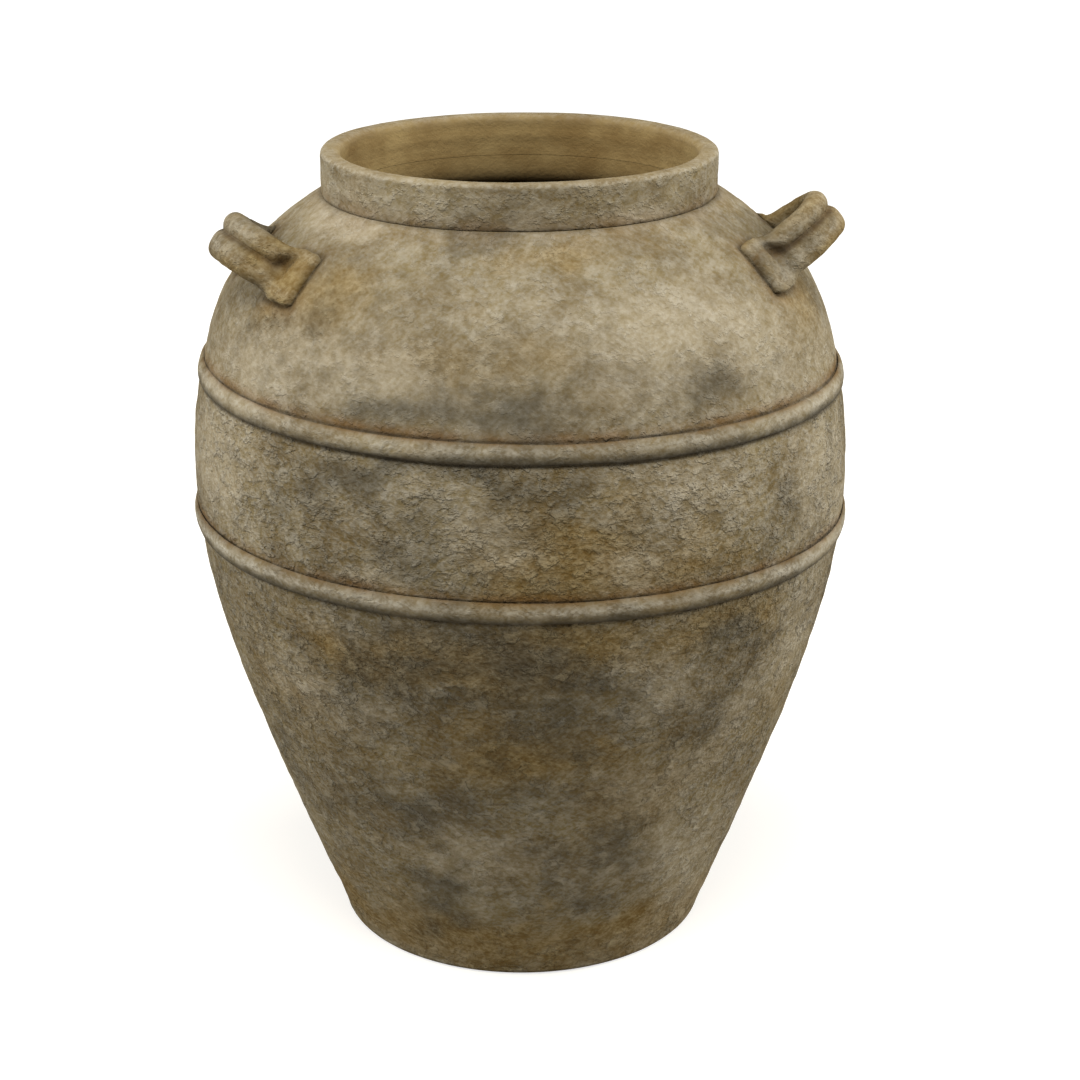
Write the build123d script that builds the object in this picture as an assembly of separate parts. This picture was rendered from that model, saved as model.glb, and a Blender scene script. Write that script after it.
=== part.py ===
from build123d import *
import os
from math import cos, degrees, hypot, radians, sin, sqrt

# A tall storage jar of coarse fired clay: a small flat foot, a full belly, a round shoulder,
# a short upright collar, two raised cordons and two double-rolled strap handles.
# It stands on the XY plane with its axis on +Z and its front on -Y. Lengths are millimetres.

# Overall form
jar_height = 560.0
base_radius = 130.0
belly_radius = 227.5
belly_height = 335.0
foot_flare = 21.5            # degrees from upright at which the wall leaves the foot
neck_slope = 55.0            # degrees from upright at which the shoulder meets the collar
lower_swell = 13.5           # how far the lower wall stands outside a straight cone
haunch_swell = 33.5          # the same, halfway up from the belly to the collar
shoulder_swell = 30.5        # the same, close below the collar

# Walls
wall = 15.0
base_thickness = 20.0
foot_rounding = 5.0
corner_coil = 28.0           # leg of the coil pressed into the corner of floor and wall
corner_cove = 6.0            # how far the coil is smoothed hollow
slip = 0.3                   # film of slip between pieces that are luted together
joint_rise = 7.0             # how much higher a bevelled wall joint is inside than outside

# Collar
collar_height = 29.5
collar_radius = 134.0
collar_wall = 14.0
collar_ledge = 1.0           # edge of the shoulder outside the foot of the collar
outer_lip = 3.0
inner_lip = 8.0

# Cordons
lower_cordon_height = 309.5
upper_cordon_drop = 118.5    # below the foot of the collar
cordon_width = 14.5
cordon_depth = 3.0

# Handles
handle_turn = 74.0           # degrees from the front to the middle of each handle
handle_drop = 35.5           # middle of the pads below the foot of the collar
handle_span = 126.0          # between the far ends of the two pads, along the shoulder
grip_span = 40.0             # between the two limbs where they bend into the grip
grip_bend = 30.0
limb_spread = 26.0           # how far each limb splays out on its way down to the shoulder
limb_sink = 12.0             # how far each limb runs on into its pad
upper_roll = 8.0             # radius
lower_roll = 9.0             # radius
roll_spacing = 16.5
web_thickness = 11.5
pad_width = 40.0
pad_length = 29.0
front_pad = 8.0              # thickness
back_pad = 4.0               # thickness, smoothed flatter than the front
pad_rounding = 2.0
hollow_radius = 7.0          # fingertip hollow where the groove runs out on the front pad
hollow_depth = 2.5
hollow_rise = 4.0            # middle of the hollow above the middle of the pad
left_rise = 30.5             # middle of the grip beyond the line between the feet of its limbs
left_tilt = 34.5             # degrees that the loop points up from level
right_rise = 39.0
right_tilt = 39.0

# Worked out from the sizes above
mouth_radius = collar_radius - collar_wall
neck_height = jar_height - collar_height
upper_cordon_height = neck_height - upper_cordon_drop
handle_height = neck_height - handle_drop
reach = 2 * belly_radius


def between(low, high, share, swell):
    """A point on the straight line from low to high, moved outwards by the swell."""
    return Vector(low.X + (high.X - low.X) * share + swell, 0, low.Z + (high.Z - low.Z) * share)


foot = Vector(base_radius, 0, 0)
belly = Vector(belly_radius, 0, belly_height)
neck = Vector(collar_radius + collar_ledge, 0, neck_height)
foot_direction = Vector(sin(radians(foot_flare)), 0, cos(radians(foot_flare)))
neck_direction = Vector(-sin(radians(neck_slope)), 0, cos(radians(neck_slope)))
outer = Spline(
    foot,
    between(foot, belly, 1 / 2, lower_swell),
    belly,
    between(belly, neck, 1 / 2, haunch_swell),
    between(belly, neck, 4 / 5, shoulder_swell),
    neck,
    tangents=[foot_direction, neck_direction],
)


def place_at(line, height):
    """Where along a rising wall line, from 0 to 1, it reaches a height."""
    low, high = 0.0, 1.0
    while high - low > 1e-9:
        middle = (low + high) / 2
        if (line @ middle).Z < height:
            low = middle
        else:
            high = middle
    return low


def wall_frame(place):
    """Point, upward direction and outward direction of the outer wall at a place along it."""
    upward = outer % place
    return outer @ place, upward, Vector(upward.Z, 0, -upward.X)


def beside_wall(distance):
    """The line at a distance outside the outer wall, or inside it for a distance below zero."""
    points = []
    for sixteenth in range(17):
        point, _, outward = wall_frame(sixteenth / 16)
        points.append(point + outward * distance)
    return Spline(*points, tangents=[foot_direction, neck_direction])


def inside_of(distance):
    """Half section of everything inside that line, which runs straight on past the neck."""
    line = beside_wall(distance)
    above = (line @ 1) + neck_direction * collar_radius
    below = -base_thickness
    rest = Polyline(line @ 1, above, (0, 0, above.Z), (0, 0, below), ((line @ 0).X, 0, below), line @ 0)
    return make_face(line + rest)


def strip(bottom, top, inner=0.0):
    """Half section between two straight lines, each given by its heights at the axis and far out."""
    def height(line, radius):
        return line[0] + (line[1] - line[0]) * radius / reach

    return make_face(Polyline(
        (inner, 0, height(bottom, inner)), (reach, 0, bottom[1]),
        (reach, 0, top[1]), (inner, 0, height(top, inner)), close=True))


def level(height):
    """A level line for a strip."""
    return height, height


def bevel(height, gap):
    """The line of a bevelled joint that meets the outer wall at a height, moved up by a gap."""
    radius = (outer @ place_at(outer, height)).X
    slope = joint_rise / wall
    return height + slope * radius + gap, height + slope * (radius - reach) + gap


def turned(section):
    """The half section turned once round the axis of the jar."""
    return revolve(section, Axis.Z)


jar_section = inside_of(0)
wall_section = jar_section - inside_of(-wall)


def base_slab():
    """Flat disc that the jar stands on, with its lower edge rounded."""
    disc = turned(jar_section & strip(level(0), level(base_thickness)))
    return fillet(disc.edges().group_by(Axis.Z)[0].sort_by(SortBy.LENGTH)[-1], foot_rounding)


def base_corner_coil():
    """Coil pressed into the corner of the floor and the wall, and smoothed hollow."""
    inner_line = beside_wall(-wall - slip)
    floor = base_thickness + slip
    top = floor + corner_coil
    tip = Vector((inner_line @ place_at(inner_line, top)).X, 0, top)
    toe = Vector((inner_line @ place_at(inner_line, floor)).X - corner_coil, 0, floor)
    cove = (tip + toe) * 0.5 + Vector(1, 0, -1).normalized() * corner_cove
    patch = make_face(
        ThreePointArc(tip, cove, toe) + Polyline(toe, (reach, 0, floor), (reach, 0, top), tip))
    return turned(patch & inside_of(-wall - slip))


def lower_wall():
    """Flaring wall from the base slab up to the joint behind the lower cordon."""
    return turned(wall_section & strip(level(base_thickness + slip), bevel(lower_cordon_height, -slip / 2)))


def belly_wall():
    """Widest ring of the wall, between the two bevelled joints."""
    return turned(wall_section & strip(
        bevel(lower_cordon_height, slip / 2), bevel(upper_cordon_height, -slip / 2)))


def shoulder_wall():
    """Round shoulder that closes in to the mouth and carries the collar and the handles."""
    return turned(wall_section & strip(
        bevel(upper_cordon_height, slip / 2), level(neck_height - slip), inner=mouth_radius))


def collar():
    """Short upright ring round the mouth, with a flat lip and rounded edges."""
    ring = make_face(Polyline(
        (mouth_radius, 0, neck_height), (collar_radius, 0, neck_height),
        (collar_radius, 0, jar_height), (mouth_radius, 0, jar_height), close=True))
    ring = fillet(ring.vertices().group_by(Axis.Z)[-1].sort_by(Axis.X)[0], inner_lip)
    ring = fillet(ring.vertices().group_by(Axis.Z)[-1].sort_by(Axis.X)[-1], outer_lip)
    return turned(ring)


def cordon(height):
    """Low round roll of clay laid round the wall over a joint."""
    point, upward, outward = wall_frame(place_at(outer, height))
    radius = (cordon_width ** 2 / 4 + cordon_depth ** 2) / (2 * cordon_depth)
    middle = Plane(origin=point + outward * (cordon_depth - radius), x_dir=upward, z_dir=(0, -1, 0))
    return turned(middle * Circle(radius) - inside_of(slip))


solid_jar = turned(inside_of(slip))


def pad(seat, thickness):
    """Pad of even thickness that follows the shoulder, with its upper edges rounded."""
    block = turned(inside_of(slip + thickness)) & seat * Box(pad_length, pad_width, pad_width)
    top = block.faces().sort_by(Axis(seat.origin, seat.z_dir))[-1]
    return fillet(top.edges(), pad_rounding)


def strap_handle(turn, rise, tilt):
    """Strap of two rolls with a groove between, bowed off the shoulder between two flat pads."""
    point, _, outward = wall_frame(place_at(outer, handle_height))
    along = Vector(0, 1, 0)
    front = -turn / abs(turn)
    seat = Plane(origin=point, x_dir=along, z_dir=outward)
    limb_foot = grip_span / 2 + limb_spread
    chord = Vector(sqrt(point.X ** 2 - limb_foot ** 2), 0, point.Z)
    loop_plane = Plane(origin=chord, x_dir=along, z_dir=(sin(radians(tilt)), 0, -cos(radians(tilt))))

    into_pad = limb_sink / hypot(limb_spread, rise)
    foot_end = (limb_foot + limb_spread * into_pad, -rise * into_pad)
    path = loop_plane * FilletPolyline(
        (-foot_end[0], foot_end[1]), (-grip_span / 2, rise), (grip_span / 2, rise), foot_end,
        radius=grip_bend)
    rolls = Rectangle(roll_spacing, web_thickness)
    rolls += Pos(-roll_spacing / 2, 0) * Circle(upper_roll)
    rolls += Pos(roll_spacing / 2, 0) * Circle(lower_roll)
    handle = sweep(Plane(origin=path @ 0, x_dir=loop_plane.z_dir, z_dir=path % 0) * rolls, path)

    pad_turn = degrees((handle_span - pad_length) / 2 / point.X)
    handle += Rot(Z=front * pad_turn) * pad(seat, front_pad)
    handle += Rot(Z=-front * pad_turn) * pad(seat, back_pad)
    handle -= solid_jar

    hollow_lift = slip + front_pad + hollow_radius - hollow_depth
    fingertip = seat * Pos(0, hollow_rise, hollow_lift) * Sphere(hollow_radius)
    handle -= Rot(Z=front * degrees(limb_foot / point.X)) * fingertip
    return Rot(Z=turn - 90) * handle


parts = {
    "base_slab": base_slab(),
    "base_corner_coil": base_corner_coil(),
    "lower_wall": lower_wall(),
    "belly_wall": belly_wall(),
    "shoulder_wall": shoulder_wall(),
    "collar": collar(),
    "lower_cordon": cordon(lower_cordon_height),
    "upper_cordon": cordon(upper_cordon_height),
    "left_handle": strap_handle(-handle_turn, left_rise, left_tilt),
    "right_handle": strap_handle(handle_turn, right_rise, right_tilt),
}

os.makedirs("parts", exist_ok=True)
for node, shape in parts.items():
    export_step(shape, f"parts/{node}.step")
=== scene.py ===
import bmesh
import bpy
import numpy as np
from mathutils import Matrix, Vector


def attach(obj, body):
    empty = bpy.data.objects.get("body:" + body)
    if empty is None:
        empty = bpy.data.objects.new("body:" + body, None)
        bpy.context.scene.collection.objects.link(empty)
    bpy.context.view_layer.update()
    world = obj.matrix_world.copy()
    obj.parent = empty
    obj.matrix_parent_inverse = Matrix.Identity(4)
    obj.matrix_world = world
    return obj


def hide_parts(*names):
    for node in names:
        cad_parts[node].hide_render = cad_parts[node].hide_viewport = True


# A tall storage jar of coarse fired clay, dressed piece by piece in the order it was built.
# Sizes are millimetres in the formulas and become metres where a mesh is made; the front is -Y.
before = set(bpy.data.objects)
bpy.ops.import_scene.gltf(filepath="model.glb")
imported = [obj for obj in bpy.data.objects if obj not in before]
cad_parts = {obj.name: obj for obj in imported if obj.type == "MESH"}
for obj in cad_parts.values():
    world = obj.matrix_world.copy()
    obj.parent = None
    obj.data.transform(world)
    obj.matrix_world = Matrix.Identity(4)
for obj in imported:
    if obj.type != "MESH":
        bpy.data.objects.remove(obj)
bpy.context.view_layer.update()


# Base slab: a round of coarse clay beaten flat, on which the jar was raised course by course.
# Its lower edge was rubbed round when the jar was lifted off the board; its face below is plain.
foot_radius = 130.0
belly_radius = 227.5
belly_height = 335.0
neck_radius = 135.0
neck_height = 530.5
lower_swell = 13.5           # how far the wall stands outside a straight cone, halfway up to the belly
haunch_swell = 33.5          # the same, halfway from the belly to the neck
shoulder_swell = 30.5        # the same, close below the neck
foot_flare = np.radians(21.5)
neck_slope = np.radians(55.0)
typical_radius = 200.0       # turns an angle round the jar into a length along its wall
slab_thickness = 20.0
foot_rounding = 5.0
stations_round = 512

up_to_belly = np.array([0.0, 0.5, 1.0])
up_to_neck = np.array([0.5, 0.8, 1.0])
wall_heights = np.concatenate([
    belly_height * up_to_belly, belly_height + (neck_height - belly_height) * up_to_neck])
wall_radii = np.concatenate([
    foot_radius + (belly_radius - foot_radius) * up_to_belly + [0, lower_swell, 0],
    belly_radius + (neck_radius - belly_radius) * up_to_neck + [haunch_swell, shoulder_swell, 0]])


def smooth_line(knots, values, first_slope, last_slope):
    """Cubic pieces through the values at the knots, whose slopes and curvatures agree where they meet.
    The slopes at the inner knots solve one set of equations; those at the two ends are given."""
    step = np.diff(knots)
    rise = np.diff(values) / step
    count = len(knots)
    inner = np.arange(1, count - 1)
    matrix = np.eye(count)
    matrix[inner, inner - 1] = 1 / step[:-1]
    matrix[inner, inner] = 2 / step[:-1] + 2 / step[1:]
    matrix[inner, inner + 1] = 1 / step[1:]
    middle = 3 * (rise[:-1] / step[:-1] + rise[1:] / step[1:])
    slope = np.linalg.solve(matrix, np.concatenate([[first_slope], middle, [last_slope]]))

    def line(x):
        k = np.clip(np.searchsorted(knots, x) - 1, 0, count - 2)
        t = (x - knots[k]) / step[k]
        bend = step[k] * t * (1 - t)
        level = values[k] + (values[k + 1] - values[k]) * t * t * (3 - 2 * t)
        return level + bend * (slope[k] * (1 - t) - slope[k + 1] * t)

    return line


wall_radius = smooth_line(wall_heights, wall_radii, np.tan(foot_flare), -np.tan(neck_slope))


def wall_point(height, depth=0.0):
    """Radius and height of the point at a depth inside the outer wall, square to its slope."""
    nudge = 0.1
    slope = (wall_radius(height + nudge) - wall_radius(height - nudge)) / (2 * nudge)
    square = np.sqrt(1 + slope ** 2)
    return wall_radius(height) - depth / square, height + depth * slope / square


line_heights = np.linspace(0, neck_height, 1200)
line_steps = np.hypot(np.diff(line_heights), np.diff(wall_radius(line_heights)))
line_lengths = np.concatenate([[0], np.cumsum(line_steps)])


def along_wall(height):
    """Length of the wall's line from the foot up to a height."""
    return np.interp(height, line_heights, line_lengths)


def clay_noise(turn, rise, wide, tall, seed):
    """Smooth random field from -1 to 1: random numbers on a lattice of cells so wide and tall, closed
    round the jar, joined by 3t^2 - 2t^3 in both directions."""
    lattice_start, lattice_length = -60, 900
    cells = max(4, round(2 * np.pi * typical_radius / wide))
    lattice = np.random.default_rng(seed).uniform(-1, 1, (int(lattice_length / tall) + 3, cells))
    u = turn / (2 * np.pi) * cells
    v = (rise - lattice_start) / tall
    j, i = np.floor(u).astype(int), np.floor(v).astype(int)
    s, t = u - j, v - i
    s, t = s * s * (3 - 2 * s), t * t * (3 - 2 * t)
    low = lattice[i, j % cells] * (1 - s) + lattice[i, (j + 1) % cells] * s
    high = lattice[i + 1, j % cells] * (1 - s) + lattice[i + 1, (j + 1) % cells] * s
    return low * (1 - t) + high * t


def flaked_skin(turn, rise):
    """0 to 1 where a thin skin of slip still stands on the wall: noise cut off by a steep ramp."""
    field = clay_noise(turn, rise, 26, 17, 11) + 0.8 * clay_noise(turn, rise, 11, 7, 12)
    field = field + 0.5 * clay_noise(turn, rise, 5.5, 4.5, 13)
    return np.clip((field - 0.30) / 0.16, 0, 1)


def hand_relief(turn, rise):
    """Unevenness of a hand-built wall: slow swells, finger ridges round the jar, lumps and flaked skin."""
    swell = 0.60 * clay_noise(turn, rise, 130, 90, 1) + 0.35 * clay_noise(turn, rise, 48, 30, 2)
    ridges = 0.20 * clay_noise(turn, rise, 160, 9, 3) + 0.14 * clay_noise(turn, rise, 70, 5, 4)
    lumps = 0.20 * clay_noise(turn, rise, 14, 11, 5) + 0.13 * clay_noise(turn, rise, 7, 6, 6)
    return swell + ridges + lumps + 0.22 * flaked_skin(turn, rise)


# Where the wash on the jar is smoky, ochre or chalky, listed one by one: azimuth from the front in degrees,
# height on the jar, half width and half height of a soft oval in millimetres, and its strength.
smoky = (
    (-6, 440, 50, 18, 0.5), (30, 446, 34, 18, 0.5), (-46, 365, 46, 32, 0.38), (-45, 395, 40, 14, 0.12),
    (-10, 395, 70, 12, 0.5), (-6, 377, 60, 18, 0.3), (-30, 390, 30, 16, 0.4), (-26, 338, 24, 14, 0.35),
    (-24, 294, 44, 14, 0.4), (-7, 262, 50, 26, 0.25), (4, 222, 50, 24, 0.25), (-25, 430, 70, 14, 0.5),
    (45, 352, 34, 28, 0.5), (-14, 268, 80, 34, 0.45), (-34, 240, 36, 28, 0.35), (30, 215, 22, 60, 0.4),
    (35, 276, 26, 16, 0.5), (2, 240, 46, 20, 0.25), (-8, 182, 50, 18, 0.3), (-31, 150, 50, 32, 0.55),
    (12, 120, 46, 32, 0.55), (-62, 135, 46, 50, 0.35), (-22, 84, 46, 22, 0.6), (-25, 56, 40, 14, 0.4),
    (6, 72, 30, 18, 0.4), (-15, 546, 60, 16, 0.45), (40, 544, 40, 14, 0.25), (125, 380, 70, 60, 0.6),
    (170, 230, 80, 80, 0.7), (-120, 300, 70, 70, 0.6), (-150, 460, 60, 40, 0.5), (110, 130, 70, 60, 0.7),
    (-100, 90, 60, 50, 0.6), (-46, 478, 44, 30, 0.3), (-56, 460, 60, 24, 0.3), (46, 450, 26, 20, 0.3),
    (60, 520, 60, 14, 0.3), (27, 432, 30, 10, 0.3), (-25, 425, 24, 14, 0.3), (-25, 398, 26, 8, 0.4),
    (-25, 354, 30, 20, 0.2), (-27, 44, 34, 14, 0.35),
)
ochre = (
    (-50, 482, 40, 34, 0.9), (2, 350, 46, 26, 0.95), (-12, 264, 56, 26, 0.8), (-53, 220, 42, 32, 0.4),
    (21, 160, 44, 40, 0.7), (-30, 30, 80, 24, 0.95), (25, 32, 80, 24, 0.9), (55, 205, 40, 40, 0.4),
    (-6, 205, 60, 18, 0.8), (62, 478, 40, 30, 0.5), (10, 285, 60, 20, 0.6), (0, 330, 60, 14, 0.6),
    (140, 300, 60, 50, 0.7), (-130, 180, 70, 50, 0.7), (180, 400, 60, 40, 0.6), (90, 60, 80, 30, 0.7),
    (-110, 430, 50, 40, 0.6), (0, 518, 60, 12, 0.5), (-10, 470, 60, 20, 0.35), (150, 150, 60, 40, 0.5),
    (-30, 272, 40, 20, 0.7), (36, 288, 40, 16, 0.6), (26, 332, 34, 14, 0.5), (-65, 25, 80, 24, 0.6),
    (62, 25, 80, 24, 0.6), (0, 12, 90, 14, 0.6),
)
chalky = (
    (-5, 494, 60, 20, 0.3), (14, 468, 50, 30, 0.4), (34, 482, 40, 26, 0.5), (-30, 462, 45, 26, 0.45),
    (-55, 445, 36, 26, 0.5), (-72, 370, 36, 44, 0.8), (-31, 334, 26, 10, 0.5), (24, 374, 36, 26, 0.5),
    (-8, 358, 36, 18, 0.4), (55, 360, 34, 40, 0.7), (64, 330, 30, 40, 0.5), (20, 252, 24, 24, 0.4),
    (53, 250, 34, 44, 0.6), (-48, 228, 34, 30, 0.55), (36, 215, 24, 40, 0.5), (28, 172, 36, 30, 0.35),
    (16, 334, 24, 12, 0.4), (15, 160, 26, 26, 0.25), (-12, 112, 34, 22, 0.5), (30, 100, 60, 34, 0.5),
    (50, 60, 50, 40, 0.5), (31, 549, 26, 12, 0.7), (0, 551, 30, 10, 0.5), (-60, 548, 70, 14, 0.8),
    (46, 452, 26, 28, 0.25), (150, 480, 60, 30, 0.6), (-160, 350, 60, 40, 0.6), (100, 250, 60, 50, 0.5),
    (-95, 240, 40, 50, 0.5), (-125, 120, 60, 50, 0.4), (-35, 290, 24, 12, 0.35), (16, 250, 20, 20, 0.4),
    (-34, 226, 24, 20, 0.4), (-26, 152, 16, 20, 0.3), (15, 176, 24, 16, 0.3), (14, 396, 20, 10, 0.35),
    (-25, 110, 50, 30, 0.3), (4, 104, 40, 26, 0.3),
)


def stain(patches, turn, rise):
    """Sum of soft oval patches on the wall, each a bell curve of the distance from its middle."""
    total = np.zeros(np.broadcast(turn, rise).shape)
    for azimuth, height, wide, tall, strength in patches:
        off = (turn - np.radians(azimuth) + np.pi) % (2 * np.pi) - np.pi
        up = rise - along_wall(height)
        total += strength * np.exp(-(off * typical_radius / wide) ** 2 - (up / tall) ** 2)
    return np.clip(total, 0, 1)


def linear(code):
    """Linear colour of an sRGB hex code."""
    parts = np.array([int(code[k:k + 2], 16) for k in (0, 2, 4)]) / 255
    parts = np.where(parts <= 0.04045, parts / 12.92, ((parts + 0.055) / 1.055) ** 2.4)
    return (*parts.tolist(), 1.0)


def add_node(tree, kind, inputs=(), output=0, **settings):
    """A node with its settings, whose inputs take plain values or links from other nodes' outputs.
    Gives back one of its own outputs, for the next node to link to."""
    made = tree.nodes.new("ShaderNode" + kind)
    for key, value in settings.items():
        setattr(made, key, value)
    for key, value in dict(inputs).items():
        if isinstance(value, bpy.types.NodeSocket):
            tree.links.new(value, made.inputs[key])
        else:
            made.inputs[key].default_value = value
    return made.outputs[output] if len(made.outputs) else None


# What each vertex tells the clay: how smoky, ochre or chalky the wash is, with painted shade on the bands'
# lower sides among the smoke;
# how much it is rubbed off, with a painted highlight along the bands' upper sides; how rusty the place is;
# how much painted shade it carries in creases, under things and inside the jar; whether the clay is bare, and
# how torn its skin is.
tone_names = ("smoke", "ochre", "chalk", "rubbed", "rust", "dirt", "bare", "torn")


def aged_clay():
    """Coarse unglazed terracotta under an old thin wash, brushed on and rubbed back by hand: dead matte.
    The wash stays ochre in the hollows and is grey on the rubbed crests, so the eye sees a soft grain with
    faint brush lines, and chips where the skin was dragged off. Over it lie clouds of smoke, ochre and
    chalk, rust beside the bands, and dirt in scratches. Painted shade darkens the creases, the bands' lower
    sides, the handles' undersides and the inside, and a painted highlight runs along the bands' upper sides.
    The inside is bare, plain and browner."""
    material = bpy.data.materials.new("aged_terracotta")
    material.use_nodes = True
    tree = material.node_tree
    tree.nodes.clear()
    place = add_node(tree, "TexCoord", output="Object")
    swirl = add_node(tree, "TexNoise", {"Vector": place, "Scale": 1000 / 13, "Detail": 2.0}, "Color")
    bent = add_node(tree, "VectorMath", {
        0: swirl, 1: (0.009, 0.009, 0.009), 2: place}, operation="MULTIPLY_ADD")

    # Noise patterns: size of the lumps in millimetres, detail, roughness, how far they are drawn out each
    # way, shift, lean in radians, and the places they lie on. Real grit and brush hairs are finer than the
    # four smallest, which are drawn as coarse as a picture of the whole jar needs to show them.
    patterns = {
        "clouds": (85, 3, 0.55, (1, 1, 1), 1.7, 0.0, place),
        "blotches": (34, 4, 0.55, (1.1, 1.1, 1), 3.1, 0.0, bent),
        "grime": (24, 4, 0.55, (1.2, 1.2, 1), 10.7, 0.0, bent),
        "drift": (20, 4, 0.55, (1.3, 1.3, 1), 4.3, 0.0, bent),
        "flakes": (11, 4, 0.62, (1.4, 1.4, 1), 7.7, 0.0, place),
        "dabs": (8, 4, 0.6, (1.3, 1.3, 1), 6.1, 0.0, place),
        "crumbs": (5.5, 3, 0.6, (1.5, 1.5, 1), 12.1, 0.0, place),
        "grain": (2.4, 3, 0.6, (1.3, 1.3, 1), 5.3, 0.0, place),
        "scratches": (1.9, 2, 0.5, (22, 22, 1), 8.9, 0.0, place),
        "brush_up": (1.8, 2, 0.6, (7, 5, 1), 2.3, 0.6, place),
        "brush_down": (1.8, 2, 0.6, (7, 5, 1), 8.3, -0.7, place),
    }
    field = {}
    for name, (size_mm, detail, roughness, drawn_out, shift, lean, on) in patterns.items():
        spot = add_node(tree, "Mapping", {
            "Vector": on, "Location": (shift, 2 * shift, -shift), "Rotation": (0, lean, 0),
            "Scale": drawn_out}, vector_type="TEXTURE")
        field[name] = add_node(tree, "TexNoise", {
            "Vector": spot, "Scale": 1000 / size_mm, "Detail": detail, "Roughness": roughness})
    for name in tone_names:
        field[name] = add_node(tree, "Attribute", output="Fac", attribute_name=name)

    # Smooth steps on a pattern or a tone: where each starts and ends, and its least and its greatest share.
    steps = {
        "brush_turns": ("blotches", 0.44, 0.56, 0, 1),
        "flaked": ("flakes", 0.50, 0.55, 0, 1),
        "dabbed": ("dabs", 0.40, 0.58, 0, 1),
        "grimy": ("grime", 0.36, 0.54, 0, 1),
        "crumbled": ("crumbs", 0.55, 0.61, 0, 1),
        "drifted": ("drift", 0.42, 0.56, 0, 1),
        "scored": ("scratches", 0.38, 0.28, 0, 1),
        "dragged": ("drift", 0.46, 0.60, 0, 1),
        "skin_open": ("torn", 0.6, 1.2, 0, 1),
        "ragged": ("torn", 0.2, 1.2, 0.6, 0.95),
        "rust_lodged": ("drift", 0.34, 0.62, 0.3, 0.85),
        "dirt_lodged": ("blotches", 0.30, 0.60, 0.5, 0.95),
    }
    for name, (source, start, end, least, most) in steps.items():
        field[name] = add_node(tree, "MapRange", {
            "Value": field[source], "From Min": start, "From Max": end, "To Min": least, "To Max": most},
            interpolation_type="SMOOTHSTEP")
    field["brushed"] = add_node(tree, "Mix", {
        "Factor": field["brush_turns"], "A": field["brush_up"], "B": field["brush_down"]}, "Result")

    # Sums of weighted products of what stands above: grain and brush lines, broken edges where the skin was
    # dragged off, scratches, the relief of them all, and where each coat of the wash shows.
    sums = {
        "wisped": ((0.28, "dabs"), (0.5, "grain"), (0.22, "brushed")),
        "chipped": ((1.0, "flaked", "dabbed", "grimy"), (0.6, "crumbled", "drifted")),
        "cut": ((1.0, "scored", "dragged", "skin_open"),),
        "skin": ((1.0, "wisped"), (0.05, "chipped")),
        "relief": ((0.25, "dabs", "torn"), (0.15, "grain", "torn"), (0.17, "chipped", "torn"),
                   (0.04, "brushed"), (-0.03, "cut")),
        "smoothed": ((0.15, "wisped"),),
        "worn": ((0.7, "clouds"), (0.8, "blotches"), (0.3, "dabs")),
        "warm": ((0.9, "ochre"), (1.1, "drift"), (0.5, "dabs")),
        "pale": ((0.9, "chalk"), (0.7, "clouds"), (0.5, "dabs")),
        "dark": ((0.95, "smoke"), (1.2, "grime"), (-0.4, "dabs")),
        "streaked": ((0.9, "clouds"), (0.6, "drift"), (0.2, "scratches")),
    }
    for name, terms in sums.items():
        total = 0.0
        for product, *parts, last in terms:
            for part in parts:
                product = add_node(tree, "Math", {0: field[part], 1: product}, operation="MULTIPLY")
            total = add_node(tree, "Math", {0: field[last], 1: product, 2: total}, operation="MULTIPLY_ADD")
        field[name] = total

    # The coats, from the ground up: where each starts and is full, its greatest share, and its colours in the
    # hollows and on the crests of the skin.
    evened = add_node(tree, "Mix", {"Factor": field["ragged"], "A": 0.52, "B": field["skin"]}, "Result")
    crest = add_node(tree, "MapRange", {
        "Value": evened, "From Min": 0.38, "From Max": 0.66}, interpolation_type="SMOOTHSTEP")
    colour = add_node(tree, "Mix", {
        "Factor": crest, "A": linear("655533"), "B": linear("817b6c")}, "Result", data_type="RGBA")
    coats = {
        "worn": (0.72, 1.08, 1.0, "7b6d48", "979284"),
        "warm": (0.78, 1.52, 0.92, "695226", "928158"),
        "pale": (0.62, 1.40, 0.85, "92876d", "b0a999"),
        "dark": (0.36, 1.25, 0.78, "423c30", "5c5a52"),
    }
    for name, (start, full, most, in_hollows, on_crests) in coats.items():
        coat = add_node(tree, "Mix", {
            "Factor": crest, "A": linear(in_hollows), "B": linear(on_crests)}, "Result", data_type="RGBA")
        share = add_node(tree, "MapRange", {
            "Value": field[name], "From Min": start, "From Max": full, "To Max": most},
            interpolation_type="SMOOTHSTEP")
        colour = add_node(tree, "Mix", {"Factor": share, "A": colour, "B": coat}, "Result", data_type="RGBA")

    # What was handled is rubbed pale, with a painted highlight along each band's upper side; rust, and dirt
    # in cuts, lodge beside what stands out; painted shade darkens creases, undersides and the inside.
    rubbed_off = add_node(tree, "MapRange", {
        "Value": field["wisped"], "From Min": 0.40, "From Max": 0.60, "To Min": 0.25, "To Max": 0.9},
        interpolation_type="SMOOTHSTEP")
    marks = {
        "rubbed": (rubbed_off, "b2aea2"),
        "rust": (field["rust_lodged"], "6b4d25"),
        "cut": (0.45, "3a2e1d"),
        "dirt": (field["dirt_lodged"], "2a2218"),
    }
    for name, (lodged, code) in marks.items():
        share = add_node(tree, "Math", {0: field[name], 1: lodged}, operation="MULTIPLY")
        colour = add_node(tree, "Mix", {
            "Factor": share, "A": colour, "B": linear(code)}, "Result", data_type="RGBA")

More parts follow.
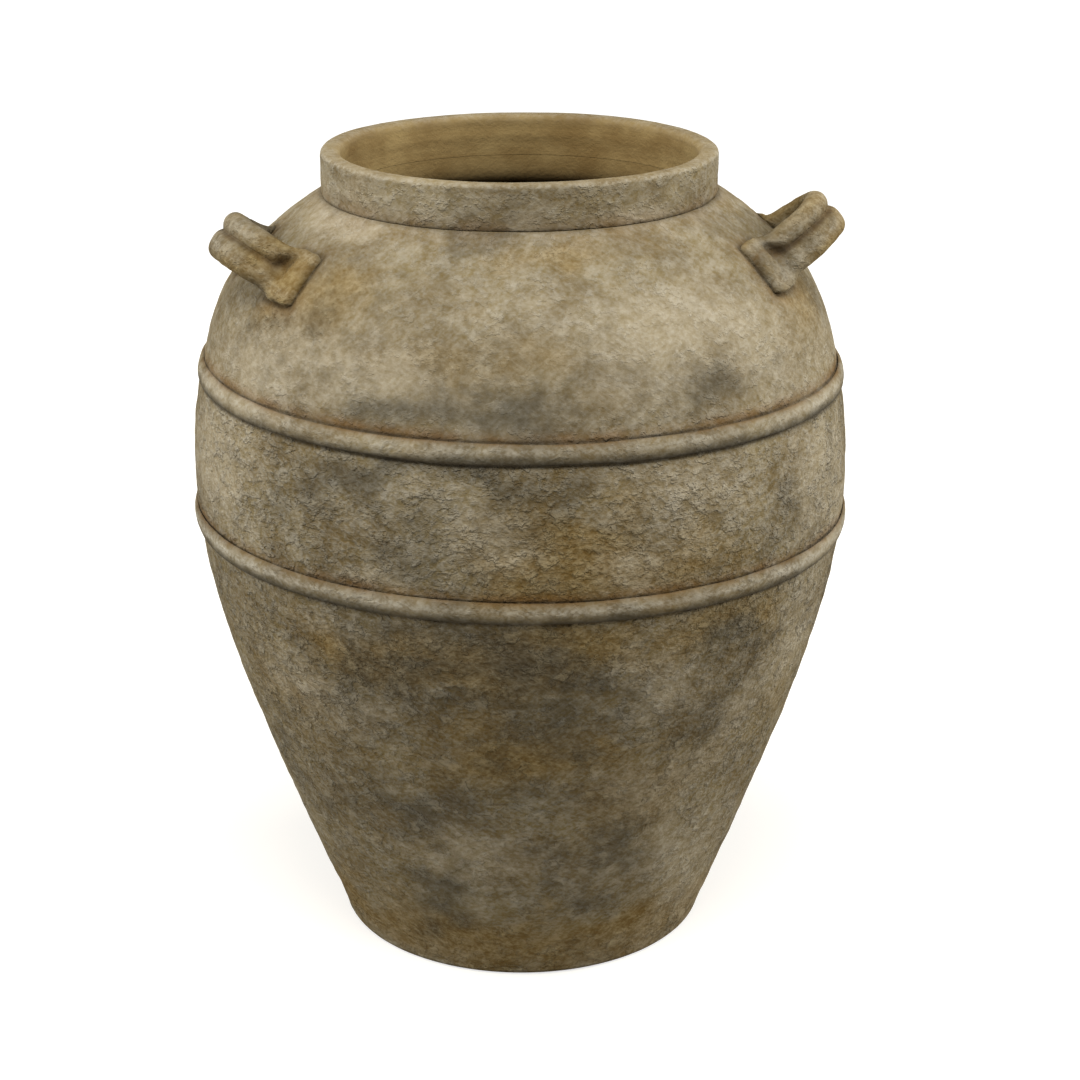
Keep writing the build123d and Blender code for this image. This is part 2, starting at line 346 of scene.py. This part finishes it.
    # The inside is bare clay, streaked by the hand that smoothed it.
    streak = add_node(tree, "MapRange", {
        "Value": field["streaked"], "From Min": 0.62, "From Max": 1.10}, interpolation_type="SMOOTHSTEP")
    bare = add_node(tree, "Mix", {
        "Factor": streak, "A": linear("78623b"), "B": linear("9a865b")}, "Result", data_type="RGBA")
    # painted shade darkens the bare inside
    bare = add_node(tree, "Mix", {
        "Factor": field["dirt"], "A": bare, "B": linear("2a2013")}, "Result", data_type="RGBA")
    colour = add_node(tree, "Mix", {
        "Factor": field["bare"], "A": colour, "B": bare}, "Result", data_type="RGBA")
    depth = add_node(tree, "Mix", {
        "Factor": field["bare"], "A": field["relief"], "B": field["smoothed"]}, "Result")
    bump = add_node(tree, "Bump", {"Strength": 1.0, "Distance": 0.0065, "Height": depth})
    shader = add_node(tree, "BsdfPrincipled", {
        "Base Color": colour, "Roughness": 0.92, "Specular IOR Level": 0.2, "Normal": bump})
    add_node(tree, "OutputMaterial", {"Surface": shader})
    return material


clay = aged_clay()
sharp_edge = 0.9             # radians between two faces, past which their edge stays sharp


def make_piece(name, node, points, ring, **tones):
    """A closed mesh on a grid of points in millimetres, which joins up along its columns, and along its
    rows too if it is a ring; otherwise its first and last rows shrink to a point each."""
    rows, columns = points.shape[:2]
    index = np.arange(rows * columns).reshape(rows, columns)
    if ring:
        index = np.concatenate([index, index[:1]])
    ahead = np.roll(index, -1, 1)
    quads = np.stack([index[:-1], ahead[:-1], ahead[1:], index[1:]], -1).reshape(-1, 4)
    mesh = bpy.data.meshes.new(name)
    mesh.from_pydata((points.reshape(-1, 3) / 1000).tolist(), [], quads.tolist())
    for tone in tone_names:
        values = np.broadcast_to(tones.get(tone, 0.0), (rows, columns)).astype(np.float32)
        mesh.attributes.new(tone, "FLOAT", "POINT").data.foreach_set("value", values.ravel())
    solid = bmesh.new()
    solid.from_mesh(mesh)
    bmesh.ops.remove_doubles(solid, verts=solid.verts, dist=1e-7)
    bmesh.ops.recalc_face_normals(solid, faces=solid.faces)
    solid.to_mesh(mesh)
    solid.free()
    mesh.polygons.foreach_set("use_smooth", np.ones(len(mesh.polygons), bool))
    mesh.set_sharp_from_angle(angle=sharp_edge)
    mesh.materials.append(clay)
    piece = bpy.data.objects.new(name, mesh)
    bpy.context.scene.collection.objects.link(piece)
    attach(piece, "root")
    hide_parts(node)
    return piece


def turned(radius, height, turn):
    """Points at a radius and a height, turned by an angle from the front towards the right-hand side."""
    radius, height, turn = np.broadcast_arrays(radius, height, turn)
    return np.stack([radius * np.sin(turn), -radius * np.cos(turn), height], -1)


turns = np.linspace(0, 2 * np.pi, stations_round, endpoint=False)[None, :]


def wash(turn, rise):
    """The smoky, ochre and chalky tones of the wash at places on the wall, and how torn its skin is there.
    The patches are looked up a little aside of each place, by noise, which frays their edges."""
    torn_rises = along_wall(np.array([0, 120, 260, 400, 440, 530]))
    torn = np.interp(rise, torn_rises, [1.0, 1.2, 2.0, 1.15, 0.35, 0.5])
    torn = torn + 0.25 * clay_noise(turn, rise, 120, 60, 81) + 0.2 * clay_noise(turn, rise, 40, 25, 82)
    aside = 16 * clay_noise(turn, rise, 60, 45, 83) + 8 * clay_noise(turn, rise, 22, 16, 84)
    above = 14 * clay_noise(turn, rise, 60, 45, 85) + 7 * clay_noise(turn, rise, 22, 16, 86)
    spot = turn + aside / typical_radius, rise + above
    powder_rises = along_wall(np.array([0, 16, 40, 260, 340, 395, 440, 480, 505, 528]))
    powder_rises = np.append(powder_rises, line_lengths[-1] + 12)
    powder = np.interp(rise, powder_rises, [0.3, 0.25, 0.12, 0.1, 0.2, 0.2, 0.35, 0.22, 0.14, 0.2, 0.22])
    return {
        "smoke": stain(smoky, *spot), "ochre": stain(ochre, *spot), "chalk": powder + stain(chalky, *spot),
        "torn": np.clip(torn, 0.2, 2.2)}


# The slab's outline runs from the middle of its face, round the foot, up its edge and back over the floor.
bend = np.linspace(0, np.pi / 2, 8)
foot_centre = wall_radius(foot_rounding) - foot_rounding
edge_heights = np.linspace(foot_rounding, slab_thickness, 8)[1:]
slab_radius = np.concatenate([
    [0, 60, foot_centre - 12], foot_centre + foot_rounding * np.sin(bend), wall_radius(edge_heights),
    wall_point(slab_thickness, np.array([6.0, 14.0]))[0], [60, 0]])
slab_height = np.concatenate([
    [0, 0, 0], foot_rounding * (1 - np.cos(bend)), edge_heights, [slab_thickness] * 4])
edge_share = np.interp(slab_height, [0, 4, slab_thickness], [0, 0.6, 1]) * (slab_radius > 125)
slab_rise = along_wall(slab_height)[:, None]
slab_relief = edge_share[:, None] * (hand_relief(turns, slab_rise) - 0.5)
# painted shade on the lowest few millimetres of the slab, where it stands on the floor
slab = make_piece(
    "foot_slab", "base_slab", turned(slab_radius[:, None] + slab_relief, slab_height[:, None], turns), False,
    **wash(turns, slab_rise), dirt=np.interp(slab_height, [0, 1, 4], [0.8, 0.4, 0.0])[:, None])


# Corner coil: a finger-thick roll of clay pressed into the corner of the floor and the wall, and
# smoothed hollow so that nothing lodges there. It is bare clay, out of sight deep in the jar.
wall_thickness = 15.0
coil_leg = 28.0
coil_hollow = 6.0
seam = 0.3
coil_floor = slab_thickness + seam
inner_heights = np.linspace(8, 60, 200)
inner_radii, inner_levels = wall_point(inner_heights, wall_thickness + seam)
side = np.linspace(0, 1, 10)
corner_side = np.interp(coil_floor + side * coil_leg, inner_levels, inner_radii)
toe = corner_side[0] - coil_leg
cove = np.linspace(1, 0, 14)[1:-1]
dip = coil_hollow * 4 * cove * (1 - cove) / np.sqrt(2)
coil_radius = np.concatenate([
    np.linspace(toe, corner_side[0], 8)[:-1], corner_side, toe + (corner_side[-1] - toe) * cove + dip])
coil_height = np.concatenate([
    np.full(7, coil_floor), coil_floor + side * coil_leg, coil_floor + coil_leg * cove - dip])
coil_points = turned(coil_radius[:, None], coil_height[:, None], turns[:, ::2])
coil = make_piece("corner_coil", "base_corner_coil", coil_points, True, bare=1.0)


# Lower wall: the flaring course from the slab to the lower band, raised from flattened coils and dragged
# smooth round the jar with a wet hand, which left level streaks and torn flakes in the skin.
lower_band = 309.5
upper_band = 412.0
band_width = 14.5
handle_turns = np.radians([-74.0, 74.0])
handle_height = neck_height - 35.5
handle_span = 126.0
pad_length = 29.0
pad_width = 40.0
handle_radius = wall_radius(handle_height)


def band_path(turn, height, seed):
    """Height of the middle of a hand-laid band: its level, sloping a little up to the left, with a slow
    waver."""
    slope = 2.6 * np.cos(turn + np.radians(95))
    waver = 0.7 * clay_noise(turn, 0, 260, 50, seed) + 0.4 * clay_noise(turn, 0, 90, 50, seed + 1)
    return height + slope + waver


def pad_distance(turn, rise):
    """Distance in millimetres from the outline of the nearest handle pad, negative under the pad."""
    nearest = np.full(np.broadcast(turn, rise).shape, 1e3)
    for middle in handle_turns:
        off = ((turn - middle + np.pi) % (2 * np.pi) - np.pi) * handle_radius
        across = np.abs(np.abs(off) - (handle_span - pad_length) / 2) - pad_length / 2
        up = np.abs(rise - along_wall(handle_height)) - pad_width / 2
        outside = np.hypot(np.maximum(across, 0), np.maximum(up, 0)) + np.minimum(np.maximum(across, up), 0)
        nearest = np.minimum(nearest, outside)
    return nearest


def wall_course(name, node, low, high, mouth=(), back_from=None):
    """One course of the wall as a ring: its outer face from low to high, with the rows set close near the
    bands and the collar, then the edge of the mouth if it has one, given by radius, height and painted shade,
    and back down its inner face, which carries painted shade when there is a mouth to see it through."""
    grid_step = 0.8
    to_crease = 7.0
    creases = [band + way * to_crease for band in (lower_band, upper_band) for way in (-1, 1)]
    fine = np.arange(np.ceil(low / grid_step), np.floor(high / grid_step) + 1).astype(int)
    near = np.abs(fine[:, None] * grid_step - np.array([*creases, neck_height])).min(1) < 5.0
    rows = fine[(fine % 3 == 0) | near] * grid_step
    rows = np.concatenate([[low], rows[(rows > low + 0.4) & (rows < high - 0.4)], [high]])[:, None]
    rise = along_wall(rows)

    # the outer face, pressed in beside the bands and the pads
    off_low, off_high = rows - band_path(turns, lower_band, 21), rows - band_path(turns, upper_band, 31)
    off_band = np.where(np.abs(off_low) < np.abs(off_high), off_low, off_high)
    beside = np.abs(off_band) - band_width / 2
    below_collar = neck_height - rows + 0 * turns
    by_pad = pad_distance(turns, rise)
    groove = 0.35 * np.exp(-(beside / 1.2) ** 2) + 0.5 * np.exp(-(by_pad / 1.6) ** 2)
    relief = hand_relief(turns, rise) * np.clip(below_collar / 12, 0.15, 1) - 0.5 - groove
    face_points = turned(*wall_point(rows, -relief), turns)

    # the edge of the mouth and the inner face, marked by the hand that smoothed it
    inner = np.linspace(back_from or high, low, max(6, int((high - low) / 7)))[:, None]
    hand_marks = 0.5 * clay_noise(turns, along_wall(inner), 400, 14, 41)
    hand_marks = hand_marks + 0.4 * clay_noise(turns, inner, 90, 40, 42)
    inner_radius, inner_height = wall_point(inner, wall_thickness + hand_marks)
    edge = np.array(mouth).reshape(-1, 3, 1) + 0 * turns
    back_radius = np.concatenate([edge[:, 0], inner_radius])
    back_height = np.concatenate([edge[:, 1], inner_height])
    # painted shade on the mouth's edge and, where there is a mouth, over the whole inner face
    back_dirt = np.concatenate([edge[:, 2], 0.8 * (len(mouth) > 0) + 0 * inner_radius])
    back_points = turned(back_radius, back_height, turns)

    # rust above each band; painted shade in the creases beside the bands, round the pads and under the collar
    upper_side = np.exp(-((off_band - band_width / 2 - 2) / 4.0) ** 2)
    face_tones = {
        **wash(turns, rise),
        "rust": 0.8 * upper_side + 0.45 * np.exp(-(by_pad / 7.0) ** 2)
        + 0.25 * np.exp(-(below_collar / 8.0) ** 2),
        "dirt": 0.75 * np.exp(-(beside / 1.4) ** 2) + 0.6 * np.exp(-(by_pad / 2.4) ** 2)
        + 0.35 * np.exp(-(below_collar / 1.4) ** 2),
        "bare": 0 * beside}
    back_tones = {"dirt": back_dirt, "bare": np.ones(back_dirt.shape)}
    plain = np.zeros(back_dirt.shape)
    tones = {tone: np.concatenate([value, back_tones.get(tone, plain)]) for tone, value in face_tones.items()}
    piece = make_piece(name, node, np.concatenate([face_points, back_points]), True, **tones)


wall_course("lower_course", "lower_wall", slab_thickness, lower_band)


# Belly: the widest course, between the two bands, joined to its neighbours behind them.
# Of the same coarse clay and wash; its skin is the most torn and flaked of all.
wall_course("belly_course", "belly_wall", lower_band, upper_band)


# Shoulder: the round course that closes in from the upper band to the mouth and carries the collar and
# the handles. It faces up, so its wash is rubbed the palest. The throat, where clay was smeared down over
# the joint with the collar, is given by radius, height and painted shade, which deepens down into the jar.
collar_inside = 120.0
shoulder_top = neck_height - seam
throat = (
    (126, shoulder_top, 0), (collar_inside, shoulder_top, 0), (collar_inside, 526, 0.05),
    (collar_inside, 521, 0.15), (120.4, 517, 0.3), (121.6, 513.5, 0.5), (124, 510.2, 0.7),
    (128, 507.4, 0.8), (134, 504.8, 0.8), (142, 502.4, 0.8))
wall_course("shoulder_course", "shoulder_wall", upper_band, shoulder_top, throat, 511.0)


# Collar: a short upright ring set on the edge of the shoulder, its lip pinched flat and rounded more on the
# inside. Washed outside, bare and smoothed inside, with painted shade along the seam at its foot.
collar_radius = 134.0
jar_height = 560.0
outer_lip = 3.0
inner_lip = 5.5
lip = np.linspace(0, np.pi / 2, 10)
outside_heights = np.concatenate([
    neck_height + np.array([0, 0.5, 1.2, 2.2, 3.4]), np.arange(neck_height + 5, jar_height - outer_lip, 2.0)])
inside_heights = np.linspace(jar_height - inner_lip, neck_height, 12)[1:]
collar_line = np.concatenate([
    np.full(len(outside_heights), collar_radius), collar_radius - outer_lip * (1 - np.cos(lip)),
    collar_inside + inner_lip * (1 - np.sin(lip)), np.full(len(inside_heights), collar_inside)])[:, None]
collar_level = np.concatenate([
    outside_heights, jar_height - outer_lip * (1 - np.sin(lip)),
    jar_height - inner_lip * (1 - np.cos(lip)), inside_heights])[:, None]
faces_out = np.concatenate([
    np.ones(len(outside_heights)), np.linspace(1, 0.75, len(lip)), np.linspace(0.7, 0.1, len(lip)),
    np.zeros(len(inside_heights))])[:, None]
foot_gap = collar_level - neck_height
share_up = foot_gap / (jar_height - neck_height)
collar_rise = along_wall(neck_height) + collar_level - neck_height
foot_crease = 0.25 * np.exp(-(foot_gap / 1.2) ** 2)
collar_relief = (hand_relief(turns, collar_rise) - 0.5 - foot_crease) * faces_out
inner_ridges = 0.35 * clay_noise(turns, collar_level, 500, 5, 51)
inner_ridges = inner_ridges * (1 - faces_out) * (collar_line < collar_inside + 1)
lip_dips = 0.55 + 0.45 * np.cos(turns - np.radians(135))
lip_dips = lip_dips + 0.2 * clay_noise(turns, 0, 230, 50, 52) + 0.25 * clay_noise(turns, 0, 60, 50, 53)
lip_waver = share_up * np.maximum(0, lip_dips)
collar_ring = make_piece(
    "collar_ring", "collar",
    turned(collar_line + collar_relief + inner_ridges, collar_level - lip_waver, turns), True,
    **{tone: value * faces_out for tone, value in wash(turns, collar_rise).items()},
    rubbed=0.5 * np.exp(-((share_up - 0.96) / 0.05) ** 2) * faces_out,
    rust=0.5 * np.exp(-(foot_gap / 7.0) ** 2) * faces_out,
    # painted shade along the seam at the collar's foot
    dirt=0.55 * np.exp(-(foot_gap / 1.2) ** 2) * faces_out,
    bare=1 - faces_out)


# Bands: two rolls of clay as thick as a little finger, laid round the jar over the joints of its courses
# and pressed on with a wet thumb. Their crowns are rubbed chalky, with a painted highlight along the upper
# side; painted shade lies on their lower sides and in the creases beside them.
band_depth = 3.0
upper_band_width = 13.6


def band(name, node, height, width, rub, seed):
    """A low roll round the wall: steep below and easy above, its back sunk just inside the wall's face,
    wavering in its level, width and depth as a roll laid by hand does."""
    across = np.linspace(-1, 1, 25)
    easy = np.maximum(0, 1 - across ** 2) ** np.where(across > 0, 0.62, 0.48)
    crown = np.concatenate([easy, np.full(3, -0.4)])[:, None]
    offset = np.concatenate([across, [0.6, 0.0, -0.6]])[:, None]
    wider = 0.08 * clay_noise(turns, 0, 75, 50, seed + 2) + 0.05 * clay_noise(turns, 0, 22, 50, seed + 3)
    deeper = 0.07 * clay_noise(turns, 0, 75, 50, seed + 4) + 0.06 * clay_noise(turns, 0, 14, 50, seed + 5)
    level = band_path(turns, height, seed) + offset * width / 2 * (1 + wider)
    stand = band_depth * (0.86 + deeper)
    lumps = 0.28 * clay_noise(turns, 5 * offset, 13, 5, seed + 6)
    lumps = lumps + 0.16 * clay_noise(turns, 5 * offset, 6, 3, seed + 7)
    lumps = np.minimum(lumps * np.clip(crown, 0, 1), 0.15)
    worn = 0.5 + 0.5 * clay_noise(turns, 0, 40, 50, seed + 8)
    below, above = np.clip(-offset, 0, 1), np.clip(offset, 0, 1)
    tones = wash(turns, along_wall(level))
    tones["torn"] = 0.35
    # painted shade on the lower side of the band, and a painted highlight along its upper side
    tones["smoke"] = 0.7 * np.clip(0.1 - offset, 0, 1) + 0.25 * worn
    tones["rubbed"] = rub * (0.45 + 0.55 * worn) * np.exp(-((offset - 0.25) / 0.35) ** 2) * (crown > 0)
    tones["rust"] = 0.8 * above ** 4
    # painted shadow under the band and painted shade in the crease above it
    tones["dirt"] = 0.9 * below ** 3 + 0.4 * above ** 8
    points = turned(*wall_point(level, -crown * stand - lumps), turns)
    piece = make_piece(name, node, points, True, **tones)


band("lower_roll", "lower_cordon", lower_band, band_width, 1.0, 21)
band("upper_roll", "upper_cordon", upper_band, upper_band_width, 0.6, 31)


# Handles: a strap of two rolls side by side with a groove between, bowed off the shoulder and pressed
# down at both ends into flat pads, with a fingertip hollow where the groove runs out on each front pad.
grip_span = 40.0
limb_spread = 26.0
grip_bend = 30.0
upper_half = 8.0
lower_half = 9.0
roll_spacing = 16.5
web_half = 5.75
front_pad_end = 5.0
front_pad_root = 8.5
back_pad = 3.5
hollow_depth = 3.6
hollow_from_end = 23.0
stations_along = 180
stations_across = 88


def ease(x):
    """0 below 0, 1 above 1 and a smooth step between."""
    x = np.clip(x, 0, 1)
    return x * x * (3 - 2 * x)


def signed_power(x, power):
    """A power of the size of x, with the sign of x: below 1 it squares up a round section."""
    return np.sign(x) * np.abs(x) ** power


def strap_handle(name, node, turn, rise, tilt, seed):
    """A closed section carried from one pad's end over the loop to the other's. Near its ends the section is
    a flat pad that follows the wall; on the loop it is two rolls and a web on a path in a tilted plane,
    level at the top, round at the bends and straight down the limbs. In between, one eases into the other."""
    slope = np.arctan2(rise, limb_spread)
    limb_foot = grip_span / 2 + limb_spread
    level_half = grip_span / 2 - grip_bend * np.tan(slope / 2)
    limb = np.hypot(limb_spread, rise) - grip_bend * np.tan(slope / 2)
    reach = level_half + grip_bend * slope + limb + handle_span / 2 - limb_foot
    shrink = np.array([0.0, 0.5, 0.85, 0.97])
    crowding = 1.35          # sets the stations closer towards the ends
    run = reach * np.sin(np.linspace(-crowding, crowding, stations_along)) / np.sin(crowding)
    cap = np.full(len(shrink), reach)
    along = np.concatenate([-cap, run[1:-1], cap])[:, None]
    size = np.concatenate([shrink, np.ones(len(run) - 2), shrink[::-1]])[:, None]
    side, away = np.sign(along), np.abs(along)
    from_end = reach - away
    round_section = np.linspace(0, 2 * np.pi, stations_across, endpoint=False)[None, :]
    c, s = np.cos(round_section), np.sin(round_section)

    # the loop, in its own plane
    middle, half_width = (lower_half - upper_half) / 2, (roll_spacing + lower_half + upper_half) / 2
    strap = middle + half_width * c
    grip = ease((from_end - 20) / 30)
    upper = np.maximum(0, upper_half ** 2 - (strap + half_width - middle - upper_half) ** 2) ** 0.5
    lower_middle, lower_reach, lower_stand = 6.8 + 0.6 * grip, 10.4 - 0.5 * grip, 7.4 + 1.6 * grip
    lower = lower_stand * np.maximum(0, 1 - np.abs((strap - lower_middle) / lower_reach) ** 2.8) ** 0.42
    web = (web_half - 1.0 + 0.6 * grip) * np.maximum(0, 1 - np.abs((strap - middle) / half_width) ** 4) ** 0.5
    thick = np.sign(s) * (upper ** 8 + lower ** 8 + web ** 8) ** 0.125
    bent = np.clip(away - level_half, 0, grip_bend * slope) / grip_bend
    down = np.maximum(away - level_half - grip_bend * slope, 0)
    out = np.minimum(away, level_half) + grip_bend * np.sin(bent) + down * np.cos(slope)
    up = rise - grip_bend * (1 - np.cos(bent)) - down * np.sin(slope)
    out, up = out + thick * np.sin(bent), up + thick * np.cos(bent)
    lean = np.radians(tilt)
    chord = np.sqrt(handle_radius ** 2 - limb_foot ** 2)
    loop = np.stack(np.broadcast_arrays(
        chord + up * np.cos(lean) + strap * np.sin(lean), side * out,
        handle_height + up * np.sin(lean) - strap * np.cos(lean)), -1)

    # the pads, on the wall
    rounded_end = 2.0 * np.clip(1 - from_end / 5, 0, 1) ** 2
    pad_across = (pad_width / 2 - rounded_end) * signed_power(c, 0.5) * size
    front = -np.sign(turn)
    front_thickness = front_pad_end + (front_pad_root - front_pad_end) * ease(from_end / 24)
    pad_thickness = np.where(side == front, front_thickness, back_pad * ease(from_end / 16))
    pad_thickness = pad_thickness * (0.25 + 0.75 * np.sqrt(1 - np.clip(1 - from_end / 4.5, 0, 1) ** 2.5))
    pad_lift = pad_thickness / 2 - 0.8 + (pad_thickness / 2 + 0.8) * signed_power(s, 0.6) * size
    heights = np.interp(along_wall(handle_height) - pad_across, line_lengths, line_heights)
    radius, level = wall_point(heights, -pad_lift)
    swing = side * (handle_span / 2 - from_end) / handle_radius
    pads = np.stack(np.broadcast_arrays(radius * np.cos(swing), radius * np.sin(swing), level), -1)

    # one eased into the other, roughened by the hand, with the fingertip hollow pressed in
    share = ease((from_end - 12 - 4 * (1 - s)) / 20)[..., None]
    points = pads * (1 - share) + loop * share
    across = np.roll(points, -1, 1) - np.roll(points, 1, 1)
    normal = np.cross(np.gradient(points, axis=0), across)
    normal /= np.maximum(np.linalg.norm(normal, axis=-1, keepdims=True), 1e-9)
    outwards = np.sign(normal[len(along) // 2, stations_across // 4] @ np.array([1.0, 0, 1.0]))
    spot = along + reach
    rough = 0.45 * clay_noise(round_section, spot, 420, 26, seed)
    rough = rough + 0.30 * clay_noise(round_section, spot, 150, 10, seed + 1)
    rough = rough + 0.22 * clay_noise(round_section, spot, 90, 5, seed + 2)
    from_hollow = ((from_end - hollow_from_end) / 7.0) ** 2 + ((strap + 2.5) / 5.5) ** 2
    hollow = hollow_depth * np.exp(-from_hollow ** 1.2) * (s > 0) * (side == front)
    points = points + normal * outwards * (rough * (size == 1) - hollow)[..., None]

    # turned to its side of the jar
    radial = np.array([np.sin(turn), -np.cos(turn), 0])
    around = np.array([np.cos(turn), np.sin(turn), 0])
    upright = np.array([0, 0, 1.0])
    points = points[..., :1] * radial + points[..., 1:2] * around + points[..., 2:] * upright

    crown = np.exp(-((np.abs(strap) - roll_spacing / 2) / 4.0) ** 2) * (s > 0)
    groove = np.exp(-((strap + 2.0 - 1.2 * grip) / 2.0) ** 2) * (s > 0)
    # painted shade where the pads meet the wall
    shade_at_wall = np.exp(-(pad_lift / 1.2) ** 2) * (1 - share[..., 0])
    mottle = clay_noise(round_section, spot, 500, 30, seed + 3)
    powder = clay_noise(round_section, spot, 300, 18, seed + 4)
    piece = make_piece(
        name, node, points, False,
        smoke=np.clip(0.18 + 0.3 * mottle, 0, 1),
        ochre=np.clip(0.6 - 0.35 * mottle, 0, 1),
        chalk=np.clip(0.15 + 0.3 * powder, 0, 1),
        rubbed=0.35 * crown * (0.7 + 0.3 * mottle),
        rust=0.4 * groove + 0.12 * np.clip(hollow, 0, 5),
        # painted shade in the groove, where the pads meet the wall, on the side towards the wall and in the
        # hollow
        dirt=0.75 * groove * share[..., 0] + 0.5 * shade_at_wall + 0.25 * (s < -0.5) + 0.03 * np.clip(hollow, 0, 5),
        torn=0.5)


strap_handle("left_strap", "left_handle", handle_turns[0], 30.5, 34.5, 61)
strap_handle("right_strap", "right_handle", handle_turns[1], 39.0, 39.0, 71)


# Studio: a broad sheet of pale paper as a floor, which glows to the camera so that it looks white, a little
# less under the jar, where it keeps the shadow. Sizes from here on are metres.
paper_half = 30.0
floor_mesh = bpy.data.meshes.new("studio_floor")
paper_corners = np.array([(-1, -1, 0), (1, -1, 0), (1, 1, 0), (-1, 1, 0)]) * paper_half
floor_mesh.from_pydata(paper_corners.tolist(), [], [(0, 1, 2, 3)])
floor = bpy.data.objects.new("studio_floor", floor_mesh)
bpy.context.scene.collection.objects.link(floor)
floor_paint = bpy.data.materials.new("white_studio_paper")
floor_paint.use_nodes = True
paper = floor_paint.node_tree
paper.nodes.clear()
seen = add_node(paper, "LightPath", output="Is Camera Ray")
spot = add_node(paper, "TexCoord", output="Object")
distance = add_node(paper, "VectorMath", {0: spot}, "Value", operation="LENGTH")
white = add_node(paper, "MapRange", {
    "Value": distance, "From Min": 0.2, "From Max": 1.5, "To Min": 0.7, "To Max": 1.0})
glow = add_node(paper, "Math", {0: seen, 1: white}, operation="MULTIPLY")
shine = add_node(paper, "Emission", {"Color": linear("ffffff"), "Strength": glow})
matte = add_node(paper, "BsdfDiffuse", {"Color": linear("b8b5ae")})
both = add_node(paper, "AddShader", {0: shine, 1: matte})
add_node(paper, "OutputMaterial", {"Surface": both})
floor_mesh.materials.append(floor_paint)

# The room gives a weak even light, and is plain white where the camera sees past the paper.
room_light = 0.22
room = bpy.data.worlds.new("studio_sky")
room.use_nodes = True
walls = room.node_tree
walls.nodes.clear()
seen = add_node(walls, "LightPath", output="Is Camera Ray")
strength = add_node(walls, "Math", {0: seen, 1: 1 - room_light, 2: room_light}, operation="MULTIPLY_ADD")
tint = add_node(walls, "Mix", {
    "Factor": seen, "A": linear("f4f1ea"), "B": linear("ffffff")}, "Result", data_type="RGBA")
backdrop = add_node(walls, "Background", {"Color": tint, "Strength": strength})
add_node(walls, "OutputWorld", {"Surface": backdrop})
bpy.context.scene.world = room


def soft_light(name, place, target, wide, tall, watts, code):
    """A rectangular soft light at a place in metres, turned to face a target."""
    data = bpy.data.lights.new(name, "AREA")
    data.shape = "RECTANGLE"
    data.size, data.size_y = wide, tall
    data.energy = watts
    data.color = linear(code)[:3]
    lamp = bpy.data.objects.new(name, data)
    bpy.context.scene.collection.objects.link(lamp)
    lamp.location = place
    lamp.rotation_euler = (Vector(target) - Vector(place)).to_track_quat("-Z", "Y").to_euler()


# One wide soft light overhead and in front, and a softer one on each side.
soft_light("overhead_light", (-0.1, -1.05, 2.2), (0, 0, 0.35), 1.1, 0.8, 42, "fffaf1")
soft_light("left_light", (-1.9, 0.2, 1.1), (0, 0, 0.3), 1.2, 1.4, 30, "fffaf0")
soft_light("right_light", (1.9, 0.1, 1.1), (0, 0, 0.3), 1.2, 1.4, 36, "fffaf0")

# The camera stands a little left of the jar's front and looks down at it through a long lens. The jar's axis
# is a little left of the middle of the picture.
camera_turn, camera_pitch, camera_roll = np.radians([5.0, 19.97, -0.2715])
camera_distance = 1.6097
camera_height = 0.8618
picture_pixels = 1080
axis_pixels_left = 18.92
level_ahead = np.array([np.sin(camera_turn), np.cos(camera_turn), 0])
ahead = level_ahead * np.cos(camera_pitch) - np.array([0, 0, np.sin(camera_pitch)])
level_right = np.array([np.cos(camera_turn), -np.sin(camera_turn), 0])
level_up = np.cross(level_right, ahead)
right = np.cos(camera_roll) * level_right + np.sin(camera_roll) * level_up
upward = np.cos(camera_roll) * level_up - np.sin(camera_roll) * level_right
lens = bpy.data.cameras.new("studio_camera")
lens.sensor_width = 36
lens.lens = 80
lens.shift_x = axis_pixels_left / picture_pixels
camera = bpy.data.objects.new("studio_camera", lens)
bpy.context.scene.collection.objects.link(camera)
stand = np.array([
    -camera_distance * np.sin(camera_turn), -camera_distance * np.cos(camera_turn), camera_height])
camera.matrix_world = Matrix(np.block([
    [np.stack([right, upward, -ahead], 1), stand[:, None]], [np.zeros((1, 3)), np.ones((1, 1))]]).tolist())
bpy.context.scene.camera = camera
bpy.context.scene.view_settings.view_transform = "Standard"
